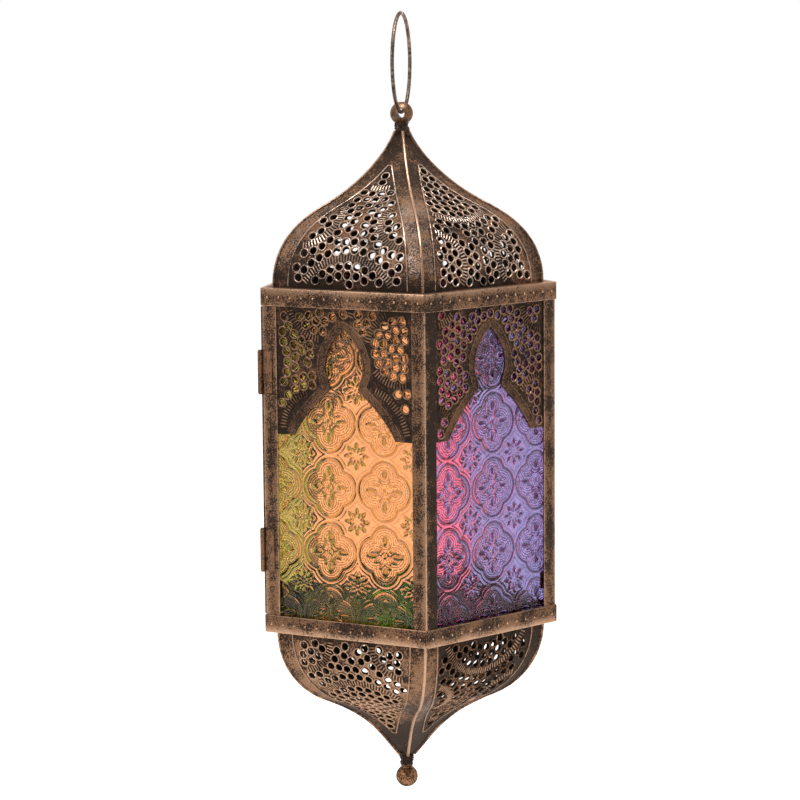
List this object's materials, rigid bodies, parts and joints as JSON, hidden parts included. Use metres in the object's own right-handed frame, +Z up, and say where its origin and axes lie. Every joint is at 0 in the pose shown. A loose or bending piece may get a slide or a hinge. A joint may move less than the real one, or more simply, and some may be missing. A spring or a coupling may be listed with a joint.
{
  "type": "hanging fanous lantern",
  "caption": "Hanging five-sided lantern of pierced copper sheet and coloured pressed glass, with domed ends, a side door, a tealight cup and a hanging ring.",
  "frame": {"origin": "where the hook meets the inside top of the hanging ring, on the lantern's axis", "axes": "+Z up along the lantern's axis, -X out through the door side, the ring's plane is YZ"},
  "size_m": [0.1368, 0.1422, 0.3806],
  "materials": {
    "ring_wire": "aged copper wire",
    "solder": "dull solder",
    "ball_metal": "aged copper, worn bright on top",
    "petal_sheet": "pressed and pierced sheet, antique copper over dark patina",
    "worn_copper": "raised rib rubbed bright",
    "band_sheet": "bent strip, antique copper with dark patches",
    "post_sheet": "bent strip, antique copper with dark patches",
    "arch_sheet": "pressed and pierced sheet, antique copper",
    "door_sheet": "antique copper sheet",
    "tray_sheet": "dark antique copper sheet",
    "clip_steel": "dark bent clips",
    "hinge_metal": "dark hinge metal",
    "latch_metal": "turn tab, rubbed at its edges",
    "glass_yellow": "pressed relief glass, amber yellow",
    "glass_violet": "pressed relief glass, rose violet",
    "glass_blue": "pressed relief glass, sky blue",
    "glass_coral": "pressed relief glass, coral",
    "glass_green": "pressed relief glass, olive green"
  },
  "bodies": {
    "hook_ring": {"hanging_ring": "ring_wire", "ring_solder": "solder"},
    "lantern": {"top_ball": "ball_metal", "bottom_ball": "ball_metal", "top_band": "band_sheet", "bottom_band": "band_sheet", "post_hinge": "post_sheet", "post_near": "post_sheet", "post_right": "post_sheet", "post_rear": "post_sheet", "post_latch": "post_sheet", "glass_front": "glass_yellow", "glass_right": "glass_violet", "glass_rear_right": "glass_blue", "glass_rear": "glass_coral", "arch_front": "arch_sheet", "arch_right": "arch_sheet", "arch_rear_right": "arch_sheet", "arch_rear": "arch_sheet", "glass_clips": "clip_steel", "top_petal_door": "petal_sheet", "top_petal_front": "petal_sheet", "top_petal_right": "petal_sheet", "top_petal_rear_right": "petal_sheet", "top_petal_rear": "petal_sheet", "bottom_petal_door": "petal_sheet", "bottom_petal_front": "petal_sheet", "bottom_petal_right": "petal_sheet", "bottom_petal_rear_right": "petal_sheet", "bottom_petal_rear": "petal_sheet", "top_ridge_ribs": "worn_copper", "bottom_ridge_ribs": "worn_copper", "candle_plate": "tray_sheet", "candle_cup": "tray_sheet", "hinge_post_leaves": "hinge_metal", "hinge_pins": "hinge_metal", "hinge_post_rivets": "hinge_metal", "latch_rivet": "latch_metal", "latch_washer": "latch_metal"},
    "door": {"door_frame": "door_sheet", "door_arch": "arch_sheet", "door_glass": "glass_green", "door_clips": "clip_steel", "hinge_door_leaves": "hinge_metal", "hinge_door_rivets": "hinge_metal"},
    "door_latch": {"latch_tab": "latch_metal"}
  },
  "joints": [
    {"name": "swing", "type": "hinge", "parent": "hook_ring", "child": "lantern", "pos_m": [0, 0, -0.0463], "axis": [0, 1, 0], "range_deg": [-125, 125]},
    {"name": "door_hinge", "type": "hinge", "parent": "lantern", "child": "door", "pos_m": [-0.06107, -0.04437, -0.21017], "axis": [0, 0, 1], "range_deg": [0, 230]},
    {"name": "latch_turn", "type": "hinge", "parent": "lantern", "child": "door_latch", "pos_m": [-0.06068, 0.04116, -0.21017], "axis": [-1, 0, 0], "range_deg": [0, 90]}
  ]
}
